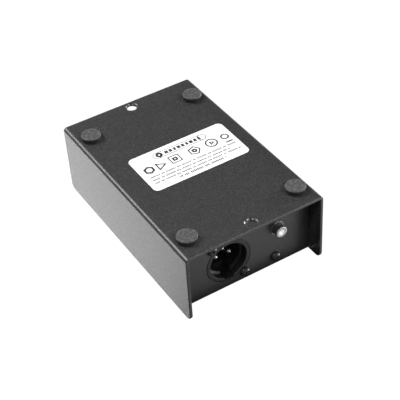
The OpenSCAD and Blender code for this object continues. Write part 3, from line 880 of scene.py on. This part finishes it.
# %% Plain signs
SIGNS = [
    (5.2, 11.6, 2.8, 1.2, 6), (10.9, 11.8, 3.3, 1.4, 3), (19.0, 11.2, 3.9, 0.8, 4),
    (19.0, 11.2, 1.8, 1.3, 4), (29.3, 11.2, 3.3, 0.8, 5), (29.3, 11.2, 1.6, 1.2, 5),
    (38.7, 10.9, 3.1, 0.75, 40), (38.7, 10.9, 1.7, 1.2, 3), (46.2, 10.4, 2.2, 0.8, 8)]
for u, v, radius, line, sides in SIGNS:
    ink_ring(ink, *across_label(u, v), radius * MM, line * MM, sides)
ink_bar(ink, *across_label(46.2, 14.6), 3.6 * MM, 0.9 * MM)
print("signs:", len(SIGNS))

# %% Lines of print
STROKE = 0.42
for number, (v, start, end, tall, stroke) in enumerate([
        (16.8, 2.8, 47.8, 1.05, STROKE), (19.1, 2.8, 43.2, 1.05, STROKE),
        (21.3, 2.8, 48.0, 1.05, STROKE), (23.6, 14.2, 38.5, 1.4, 0.55)]):
    u = start
    count = 0
    while u < end:
        ink_bar(ink, *across_label(u + stroke / 2, v), stroke * MM, tall * (0.75 + 0.25 * (count % 2)) * MM)
        count += 1
        word_ends = (7 * count + 3 * number) % 11 < 2
        u += stroke * (1.5 if not word_ends else 3.0)
label_print = to_object(
    place(ink, Matrix.Translation((label_mid.x, label_mid.y, label_low.z - INK / 2))), "label_print")
label_print.data.materials.append(label_ink)
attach(label_print, "enclosure")
print("label print:", len(label_print.data.polygons), "faces")

# %% [markdown]
# ## Screws with a cross recess
# A pan head is a low dome. The cross recess is cut with two crossed wedges that narrow downwards, as
# the punch that makes it does. The screws are turned so that no two crosses stand alike, as on a real
# case.

# %% Screws
HEAD_R = 2.5 * MM
HEAD_H = 1.6 * MM
SHANK_R = 1.45 * MM
RECESS_WIDE = 2.7 * MM


def cross_cutter(width, depth, turn):
    """The shape of a cross-point bit, pointing down from z = 0."""
    cutter = None
    for quarter in (0, 1):
        bm = bmesh.new()
        bmesh.ops.create_cube(bm, size=1)
        bmesh.ops.scale(bm, vec=(width, width * 0.24, depth * 2), verts=bm.verts)
        tip = [v for v in bm.verts if v.co.z < 0]
        bmesh.ops.scale(bm, vec=(0.45, 0.6, 1), verts=tip)
        bmesh.ops.rotate(bm, matrix=Matrix.Rotation(turn + quarter * math.pi / 2, 3, "Z"),
                         cent=(0, 0, 0), verts=bm.verts)
        arm = to_object(bm, "cutter")
        cutter = combine(cutter, arm, "UNION") if cutter else arm
    return cutter


def pan_screw(name, length, turn):
    """A pan-head screw on z = 0 that points down."""
    r = HEAD_R
    h = HEAD_H
    outline = [(0, h), (0.36 * r, 0.985 * h), (0.64 * r, 0.9 * h), (0.84 * r, 0.74 * h),
               (0.96 * r, 0.5 * h), (r, 0.22 * h), (r, 0), (SHANK_R, 0),
               (SHANK_R, -length), (0, -length)]
    screw = to_object(lathe(outline, 48), name)
    cutter = cross_cutter(RECESS_WIDE, 1.05 * MM, turn)
    cutter.data.transform(Matrix.Translation((0, 0, h)))
    return combine(screw, cutter)


def flat_screw(name, length, turn):
    """A countersunk screw whose head is flush with z = 0."""
    r = SCREW_HEAD_R
    outline = [(0, 0), (r, 0), (r, -0.12 * MM), (SHANK_R, -1.25 * MM), (SHANK_R, -length),
               (0, -length)]
    return combine(to_object(lathe(outline, 48), name), cross_cutter(RECESS_WIDE, 1.0 * MM, turn))


def gathered(pieces, name):
    """Joins several objects into one."""
    whole = bmesh.new()
    for piece in pieces:
        whole.from_mesh(piece.data)
        bpy.data.objects.remove(piece)
    return to_object(whole, name)


# %% Screws of the front panel
front_y = cover_low.y
low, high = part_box("xlr_screws")
socket_screws = []
for x, z, turn in ((low.x + HEAD_R, high.z - HEAD_R, 0.5), (high.x - HEAD_R, low.z + HEAD_R, 0.15)):
    screw = pan_screw("screw", 8 * MM, turn)
    screw.data.transform(Matrix.Translation((x, front_y, z)) @ FACE_FRONT)
    socket_screws.append(screw)
socket_screws = gathered(socket_screws, "socket_screws")
soften(socket_screws, 0.06 * MM, 2)
hand_over(socket_screws, ["xlr_screws"], black_oxide)

ground_screw = pan_screw("ground_bond_screw", 7 * MM, 0.75)
ground_screw.data.transform(
    Matrix.Translation((ground_at.x, front_y, ground_at.z)) @ FACE_FRONT)
soften(ground_screw, 0.06 * MM, 2)
hand_over(ground_screw, ["ground_screw"], black_oxide)
print("ground screw:", len(ground_screw.data.polygons), "faces")

# %% Screws of the cover
cover_screws = []
for number, spot in enumerate(cover_screw_spots):
    screw = flat_screw("screw", 7 * MM, 0.4 + 0.9 * number)
    screw.data.transform(Matrix.Translation(spot))
    cover_screws.append(screw)
cover_screws = gathered(cover_screws, "cover_screw_set")
soften(cover_screws, 0.06 * MM, 2)
hand_over(cover_screws, ["cover_screws"], black_oxide)
print("cover screws:", len(cover_screw_spots))

# %% [markdown]
# ## The output socket
# The socket is a moulded shell fitted from behind, so only its ring shows, flush in the panel. The
# mouth is wide, and a step leads to the narrower bore that takes the plug. A keyway is cut at the
# top. The shell is turned, its square flange and body are added, and the hollow is cut last.

# %% Socket shell
socket_low, socket_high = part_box("xlr_housing")
MOUTH_R = 9.3 * MM
BORE_R = 8.15 * MM
MOUTH_DEPTH = 3.5 * MM
FLANGE = 2.5 * MM
KEY_WIDTH = 4.9 * MM
KEY_REACH = 10.3 * MM
KEY_DEPTH = 9.0 * MM
COLLAR_DEPTH = 3 * MM
FLANGE_TALL = 26 * MM
BODY_WIDE = 22 * MM
BODY_ABOVE = 10.8 * MM
PAST_BACK = 30 * MM
flange_y = front_y + sheet
socket_turn = Matrix.Translation((socket_at.x, front_y, socket_at.z)) @ FACE_FRONT
collar = [(0, 0), (socket_r, 0), (socket_r, -COLLAR_DEPTH), (0, -COLLAR_DEPTH)]
socket = to_object(place(lathe(collar, 96), socket_turn), "socket_shell")
combine(socket, block(
    (extent("xlr_housing").x, FLANGE, FLANGE_TALL),
    (socket_at.x, flange_y + FLANGE / 2, socket_at.z)), "UNION")
body_back = socket_high.y
body_low = socket_low.z
body_high = socket_at.z + BODY_ABOVE
combine(socket, block(
    (BODY_WIDE, body_back - flange_y - FLANGE / 2, body_high - body_low),
    (socket_at.x, (body_back + flange_y + FLANGE / 2) / 2, (body_low + body_high) / 2)), "UNION")
hollow = [(0, MM), (MOUTH_R, MM), (MOUTH_R, -MOUTH_DEPTH), (BORE_R, -MOUTH_DEPTH - 0.25 * MM),
          (BORE_R, -PAST_BACK), (0, -PAST_BACK)]
combine(socket, to_object(place(lathe(hollow, 96), socket_turn), "cutter"))
combine(socket, block(
    (KEY_WIDTH, 2 * KEY_DEPTH, KEY_REACH), (socket_at.x, front_y, socket_at.z + KEY_REACH / 2)))
soften(socket, 0.18 * MM, 3)
hand_over(socket, ["xlr_housing"], moulded_nylon)
print("socket:", len(socket.data.polygons), "faces")

# %% [markdown]
# ## The insert and its pins
# The insert closes the bottom of the bore and holds three pins. A pin is a plain rod with a round
# end, so it is turned too, and its thin tail goes down to the board.

# %% Insert and pins
insert_low, insert_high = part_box("xlr_insert")
insert_r = (insert_high.x - insert_low.x) / 2
insert_t = insert_high.y - insert_low.y
pins_low, pins_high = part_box("xlr_pins")
PIN_R = 1.25 * MM
PIN_CIRCLE = (pins_high.x - pins_low.x) / 2 - PIN_R
PIN_ANGLES = (0, 180, 270)
insert_turn = Matrix.Translation((socket_at.x, insert_low.y, socket_at.z)) @ FACE_FRONT
disc = [(0, 0), (insert_r, 0), (insert_r, -insert_t), (0, -insert_t)]
insert = to_object(place(lathe(disc, 96), insert_turn), "socket_insert")
pins = []
for degrees in PIN_ANGLES:
    a = math.radians(degrees)
    x, z = socket_at.x + PIN_CIRCLE * math.cos(a), socket_at.z + PIN_CIRCLE * math.sin(a)
    combine(insert, rod_cutter(
        PIN_R + 0.05 * MM, -9 * MM, 2 * MM,
        Matrix.Translation((x, insert_low.y, z)) @ FACE_FRONT))
    reach = insert_high.y - pins_low.y
    arc = [(PIN_R * math.sin(t), reach - PIN_R + PIN_R * math.cos(t))
           for t in (i * math.pi / 16 for i in range(9))]
    outline = arc + [(PIN_R, -0.4 * MM), (0, -0.4 * MM)]
    pins.append(to_object(
        place(lathe(outline, 32), Matrix.Translation((x, insert_high.y, z)) @ FACE_FRONT), "pin"))
soften(insert, 0.12 * MM, 2)
hand_over(insert, ["xlr_insert"], insert_nylon_painted_shade)
print("pins stand on a circle of", round(2 * PIN_CIRCLE / MM, 1), "mm")

# %% Tails of the pins
TAIL_R = 0.35 * MM
TAIL_Y = {0: -22.5 * MM, 180: -22.5 * MM, 270: -20 * MM}
for number, degrees in enumerate(PIN_ANGLES):
    a = math.radians(degrees)
    x, z = socket_at.x + PIN_CIRCLE * math.cos(a), socket_at.z + PIN_CIRCLE * math.sin(a)
    back = TAIL_Y[degrees]
    wire = bmesh.new()
    start = wire.verts.new((x, insert_high.y, z))
    bend = wire.verts.new((x, back, z))
    foot_end = wire.verts.new((x, back, pins_low.z))
    wire.edges.new((start, bend))
    wire.edges.new((bend, foot_end))
    tail = to_object(wire, "tail")
    tail.modifiers.new("skin", "SKIN")
    for point in tail.data.skin_vertices[0].data:
        point.radius = (TAIL_R, TAIL_R)
    tail.data.skin_vertices[0].data[0].use_root = True
    applied(tail)
    combine(pins[number], tail, "UNION")
pins = gathered(pins, "socket_pins")
soften(pins, 0.03 * MM, 1)
hand_over(pins, ["xlr_pins"], silver_plate)
print("pins:", len(pins.data.polygons), "faces")

# %% [markdown]
# ## The ground lift button
# The button is a turned cap with a bright, slightly dished face and a rounded rim. It slides in a
# thin plated ring that is pressed into the panel. The cap rides on the moving body, and its ring
# stays with the case.

# %% Button finish


TONE_SPAN = 4 * MM
FACING_FRONT = -0.8


def face_tones(material, centre, bands):
    """Paints rings round a centre on the front face only; bands are (radius, colour) pairs."""
    nodes = material.node_tree.nodes
    links = material.node_tree.links
    shader = nodes["Principled BSDF"]
    where = nodes.new("ShaderNodeTexCoord")
    centred = nodes.new("ShaderNodeMapping")
    centred.inputs["Location"].default_value = -centre
    flat = nodes.new("ShaderNodeVectorMath")
    flat.operation = "MULTIPLY"
    flat.inputs[1].default_value = (1, 0, 1)
    away = nodes.new("ShaderNodeVectorMath")
    away.operation = "LENGTH"
    ramp = nodes.new("ShaderNodeValToRGB")
    spread = nodes.new("ShaderNodeMapRange")
    spread.inputs["From Max"].default_value = TONE_SPAN
    ramp.color_ramp.elements[0].position = 0
    ramp.color_ramp.elements[0].color = (*bands[0][1], 1)
    ramp.color_ramp.elements[1].position = bands[-1][0] / TONE_SPAN
    ramp.color_ramp.elements[1].color = (*bands[-1][1], 1)
    for radius, tone in bands[1:-1]:
        stop = ramp.color_ramp.elements.new(radius / TONE_SPAN)
        stop.color = (*tone, 1)
    links.new(where.outputs["Object"], centred.inputs["Vector"])
    links.new(centred.outputs["Vector"], flat.inputs[0])
    links.new(flat.outputs["Vector"], away.inputs[0])
    links.new(away.outputs["Value"], spread.inputs["Value"])
    links.new(spread.outputs["Result"], ramp.inputs["Fac"])
    facing = nodes.new("ShaderNodeSeparateXYZ")
    links.new(where.outputs["Normal"], facing.inputs[0])
    front = nodes.new("ShaderNodeMath")
    front.operation = "LESS_THAN"
    front.inputs[1].default_value = FACING_FRONT
    links.new(facing.outputs["Y"], front.inputs[0])
    mix = nodes.new("ShaderNodeMix")
    mix.data_type = "RGBA"
    mix.inputs["A"].default_value = shader.inputs["Base Color"].default_value
    links.new(front.outputs["Value"], mix.inputs["Factor"])
    links.new(ramp.outputs["Color"], mix.inputs["B"])
    links.new(mix.outputs["Result"], shader.inputs["Base Color"])


button_metal = finish("button_metal", (0.3, 0.3, 0.31), 0.46, metallic=1.0)
uneven_gloss(button_metal, 1.5 * MM, 0.42, 0.5)
face_tones(
    button_metal, button_at,
    [(0, (0.95, 0.95, 0.95)), (1.15 * MM, (0.93, 0.93, 0.93)), (1.5 * MM, (0.5, 0.5, 0.51)),
     (2.6 * MM, (0.42, 0.42, 0.43))])
print("button finish:", len(button_metal.node_tree.nodes), "nodes")

# %% Button and ring
button_low, button_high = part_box("ground_lift_button")
button_r = (button_high.x - button_low.x) / 2
button_l = button_high.y - button_low.y
PLUNGER_R = 1.6 * MM
rim = 0.45 * MM
cap_outline = [
    (0, -0.12 * MM), (1.1 * MM, -0.09 * MM), (button_r - rim - 0.25 * MM, 0)]
cap_outline += [
    (button_r - rim + rim * math.sin(t), -rim + rim * math.cos(t))
    for t in (i * math.pi / 12 for i in range(7))]
cap_outline += [(button_r, -button_l), (PLUNGER_R, -button_l), (PLUNGER_R, -1.7 * MM), (0, -1.7 * MM)]
cap = to_object(
    place(lathe(cap_outline, 72), Matrix.Translation((button_at.x, button_low.y, button_at.z))
          @ FACE_FRONT), "button_cap")
soften(cap, 0.05 * MM, 2)
hand_over(cap, ["ground_lift_button"], button_metal, "ground_lift")

ring_low, ring_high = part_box("button_collar")
ring_r = (ring_high.x - ring_low.x) / 2
RING_BORE = 3.0 * MM
RING_SLEEVE = 3.35 * MM
RING_LIP = 0.4 * MM
ring_outline = [
    (RING_BORE, 0), (ring_r - 0.15 * MM, 0), (ring_r, -0.15 * MM), (ring_r, -RING_LIP),
    (RING_SLEEVE, -RING_LIP), (RING_SLEEVE, ring_low.y - ring_high.y),
    (RING_BORE, ring_low.y - ring_high.y)]
ring = to_object(
    place(lathe(ring_outline, 72, closed=True),
          Matrix.Translation((button_at.x, ring_low.y, button_at.z)) @ FACE_FRONT), "button_ring")
soften(ring, 0.05 * MM, 2)
hand_over(ring, ["button_collar"], black_chrome)
print("button:", round(2 * button_r / MM, 1), "mm across")

# %% [markdown]
# ## The jacks
# Each jack has a threaded sleeve through the rear panel, a washer and a hexagon nut. The thread is a
# stack of small ridges on the turned outline, which reads as a thread at any distance. The nut is a
# six-sided lathe shape whose corners are cut back by a cone, as a real nut's are.

# %% Jacks
THREAD_PITCH = 0.75 * MM
THREAD_DEPTH = 0.3 * MM
THREAD_END = 7 * MM
NUT_BORE = 4.75 * MM
JACK_BORE_R = 3.25 * MM
MOUTH_FLARE = 0.4 * MM
for name, centre in jacks_at.items():
    sleeve_low, sleeve_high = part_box(name + "_jack_bushing")
    sleeve_r = (sleeve_high.x - sleeve_low.x) / 2
    length = sleeve_high.y - sleeve_low.y
    turn = Matrix.Translation((centre.x, sleeve_high.y, centre.z)) @ FACE_REAR
    outline = [(JACK_BORE_R, -length), (JACK_BORE_R, -0.5 * MM), (JACK_BORE_R + MOUTH_FLARE, 0),
               (sleeve_r - 0.4 * MM, 0)]
    depth = 0.3 * MM
    while depth < THREAD_END:
        outline += [(sleeve_r, -depth), (sleeve_r - THREAD_DEPTH, -depth - THREAD_PITCH / 2)]
        depth += THREAD_PITCH
    outline += [(sleeve_r, -depth), (sleeve_r, -length)]
    sleeve = to_object(place(lathe(outline, 64, closed=True), turn), name + "_jack_sleeve")
    soften(sleeve, 0.04 * MM, 1)
    hand_over(sleeve, [name + "_jack_bushing"], nickel)

    nut_low, nut_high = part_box(name + "_jack_nut")
    nut_h = nut_high.y - nut_low.y
    nut_r = (nut_high.x - nut_low.x) / 2
    nut = bmesh.new()
    bmesh.ops.create_cone(
        nut, cap_ends=True, segments=6, radius1=nut_r, radius2=nut_r, depth=nut_h)
    bmesh.ops.rotate(
        nut, matrix=Matrix.Rotation(math.radians(30), 3, "Z"), cent=(0, 0, 0), verts=nut.verts)
    if max(v.co.x for v in nut.verts) < 0.99 * nut_r:
        bmesh.ops.rotate(
            nut, matrix=Matrix.Rotation(math.radians(30), 3, "Z"), cent=(0, 0, 0), verts=nut.verts)
    nut = to_object(nut, name + "_jack_hex_nut")
    crown = [(0, nut_h), (nut_r * 0.85, nut_h), (nut_r * 1.1, nut_h / 2 - nut_r * 0.08),
             (nut_r * 1.1, -nut_h), (0, -nut_h)]
    combine(nut, to_object(lathe(crown, 64), "cutter"), "INTERSECT")
    combine(nut, rod_cutter(NUT_BORE, -nut_h, nut_h, Matrix.Identity(4)))
    nut.data.transform(
        Matrix.Translation((centre.x, (nut_low.y + nut_high.y) / 2, centre.z)) @ FACE_REAR)
    soften(nut, 0.1 * MM, 2)
    hand_over(nut, [name + "_jack_nut"], nickel)

    washer_low, washer_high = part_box(name + "_jack_washer")
    washer_r = (washer_high.x - washer_low.x) / 2
    washer_t = washer_high.y - washer_low.y
    outline = [(NUT_BORE, 0), (washer_r, 0), (washer_r, -washer_t), (NUT_BORE, -washer_t)]
    turn = Matrix.Translation((centre.x, washer_high.y, centre.z)) @ FACE_REAR
    washer = to_object(place(lathe(outline, 72, closed=True), turn), name + "_jack_flat_washer")
    soften(washer, 0.08 * MM, 2)
    hand_over(washer, [name + "_jack_washer"], nickel)
print("jacks:", list(jacks_at))

# %% [markdown]
# ## The parts inside
# The rest of the box is closed off by its case, and the CAD shapes are right for it, so they stay.
# Each gets the finish of its own material: plated steel, a green board, stacked laminations that
# show as fine lines, enamelled copper wound in rows, and moulded plastics.

# %% Finishes of the parts inside
zinc = finish("zinc_steel", (0.55, 0.57, 0.6), 0.35, metallic=1.0)
blotches(zinc, 2 * MM, (0.68, 0.69, 0.7))
spring_steel = finish("spring_steel", (0.6, 0.6, 0.62), 0.25, metallic=1.0)
grain(spring_steel, 0.2 * MM, 0.004 * MM)
tin = finish("tinned_leads", (0.72, 0.73, 0.74), 0.3, metallic=1.0)
uneven_gloss(tin, 0.5 * MM, 0.2, 0.4)
board_green = finish("board_laminate", (0.03, 0.16, 0.07), 0.4)
blotches(board_green, 3 * MM, (0.05, 0.22, 0.1), stretch=(1, 0.2, 1))
laminations = finish("core_steel", (0.3, 0.31, 0.33), 0.45, metallic=0.9)
blotches(laminations, 0.5 * MM, (0.16, 0.15, 0.15), stretch=(0.02, 1, 0.02))
grain(laminations, 0.5 * MM, 0.1 * MM, 0.8, stretch=(0.02, 1, 0.02))
bobbin_nylon = finish("bobbin_plastic", (0.72, 0.68, 0.56), 0.5)
blotches(bobbin_nylon, 3 * MM, (0.66, 0.62, 0.5))
copper = finish("copper_wire", (0.72, 0.3, 0.12), 0.28, metallic=1.0)
blotches(copper, 0.3 * MM, (0.4, 0.14, 0.05), stretch=(0.02, 0.02, 1))
grain(copper, 0.3 * MM, 0.08 * MM, 0.8, stretch=(0.02, 0.02, 1))
resistor_blue = finish("resistor_coating", (0.2, 0.42, 0.55), 0.3)
blotches(resistor_blue, 1.6 * MM, (0.5, 0.3, 0.1), 0.55, 0.57, stretch=(1, 0.02, 0.02))
capacitor_red = finish("capacitor_case", (0.5, 0.05, 0.03), 0.3)
blotches(capacitor_red, 2 * MM, (0.42, 0.04, 0.03))
wire_green = finish("wire_insulation", (0.08, 0.3, 0.05), 0.4)
blotches(wire_green, 1.5 * MM, (0.6, 0.55, 0.05), 0.5, 0.52, stretch=(1, 1, 0.4))
switch_grey = finish("switch_plastic", (0.08, 0.085, 0.1), 0.45)
grain(switch_grey, 0.3 * MM, 0.01 * MM)
acetal = finish("plunger_plastic", (0.8, 0.79, 0.75), 0.4)
blotches(acetal, 2 * MM, (0.74, 0.73, 0.69))
print("materials in all:", len(bpy.data.materials))

# %% Giving them out
inside = {
    zinc: ["cover_brackets", "ground_nut", "transformer_strap"],
    silver_plate: ["ground_lug", "input_jack_contacts", "link_jack_contacts"],
    tin: ["switch_terminals", "transformer_pins"],
    board_green: ["circuit_board"],
    laminations: ["transformer_core"],
    bobbin_nylon: ["transformer_bobbin"],
    copper: ["transformer_winding"],
    resistor_blue: ["resistors"],
    capacitor_red: ["capacitors"],
    wire_green: ["ground_wire"],
    switch_grey: ["switch_body"],
    acetal: ["switch_plunger"],
    moulded_nylon: ["input_jack_body", "link_jack_body"],
}
for material, nodes in inside.items():
    for node in nodes:
        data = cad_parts[node].data
        data.materials.clear()
        data.materials.append(material)
print("parts inside:", sum(len(nodes) for nodes in inside.values()))

# %% [markdown]
# ## The switch spring
# A spring behind the plunger pushes the button out. It is a wire wound on a mandrel, and a spin that
# climbs a little at each step winds it. The spring has to get shorter when the button goes in, which
# a rigid part can't do; this piece stands for the CAD spring and gets a mesh of its own.

# %% Switch spring
WIRE_R = 0.22 * MM
TURNS = 6
STEPS_A_TURN = 24
spring_low, spring_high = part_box("switch_spring")
spring_at = (spring_low + spring_high) / 2
spring_l = spring_high.y - spring_low.y
spring_r = (spring_high.x - spring_low.x) / 2 - WIRE_R
wire = bmesh.new()
bmesh.ops.create_circle(wire, cap_ends=True, segments=8, radius=WIRE_R)
place(wire, Matrix.Translation((spring_r, 0, WIRE_R)) @ Matrix.Rotation(math.radians(90), 4, "X"))
bmesh.ops.spin(
    wire, geom=wire.verts[:] + wire.edges[:] + wire.faces[:], cent=(0, 0, 0), axis=(0, 0, 1),
    dvec=(0, 0, (spring_l - 2 * WIRE_R) / (TURNS * STEPS_A_TURN)), angle=TURNS * math.tau,
    steps=TURNS * STEPS_A_TURN, use_merge=False)
bmesh.ops.recalc_face_normals(wire, faces=wire.faces)
open_edges = [e for e in wire.edges if len(e.link_faces) != 2]
place(wire, Matrix.Translation((spring_at.x, spring_low.y, spring_at.z)) @ FACE_REAR)
spring = to_object(wire, "button_spring")
spring.data.shade_smooth()
spring.data.set_sharp_from_angle(angle=math.radians(60))
hand_over(spring, ["switch_spring"], spring_steel)
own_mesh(spring)
print("spring:", round(spring_l / MM, 2), "mm long,", len(open_edges), "open edges")
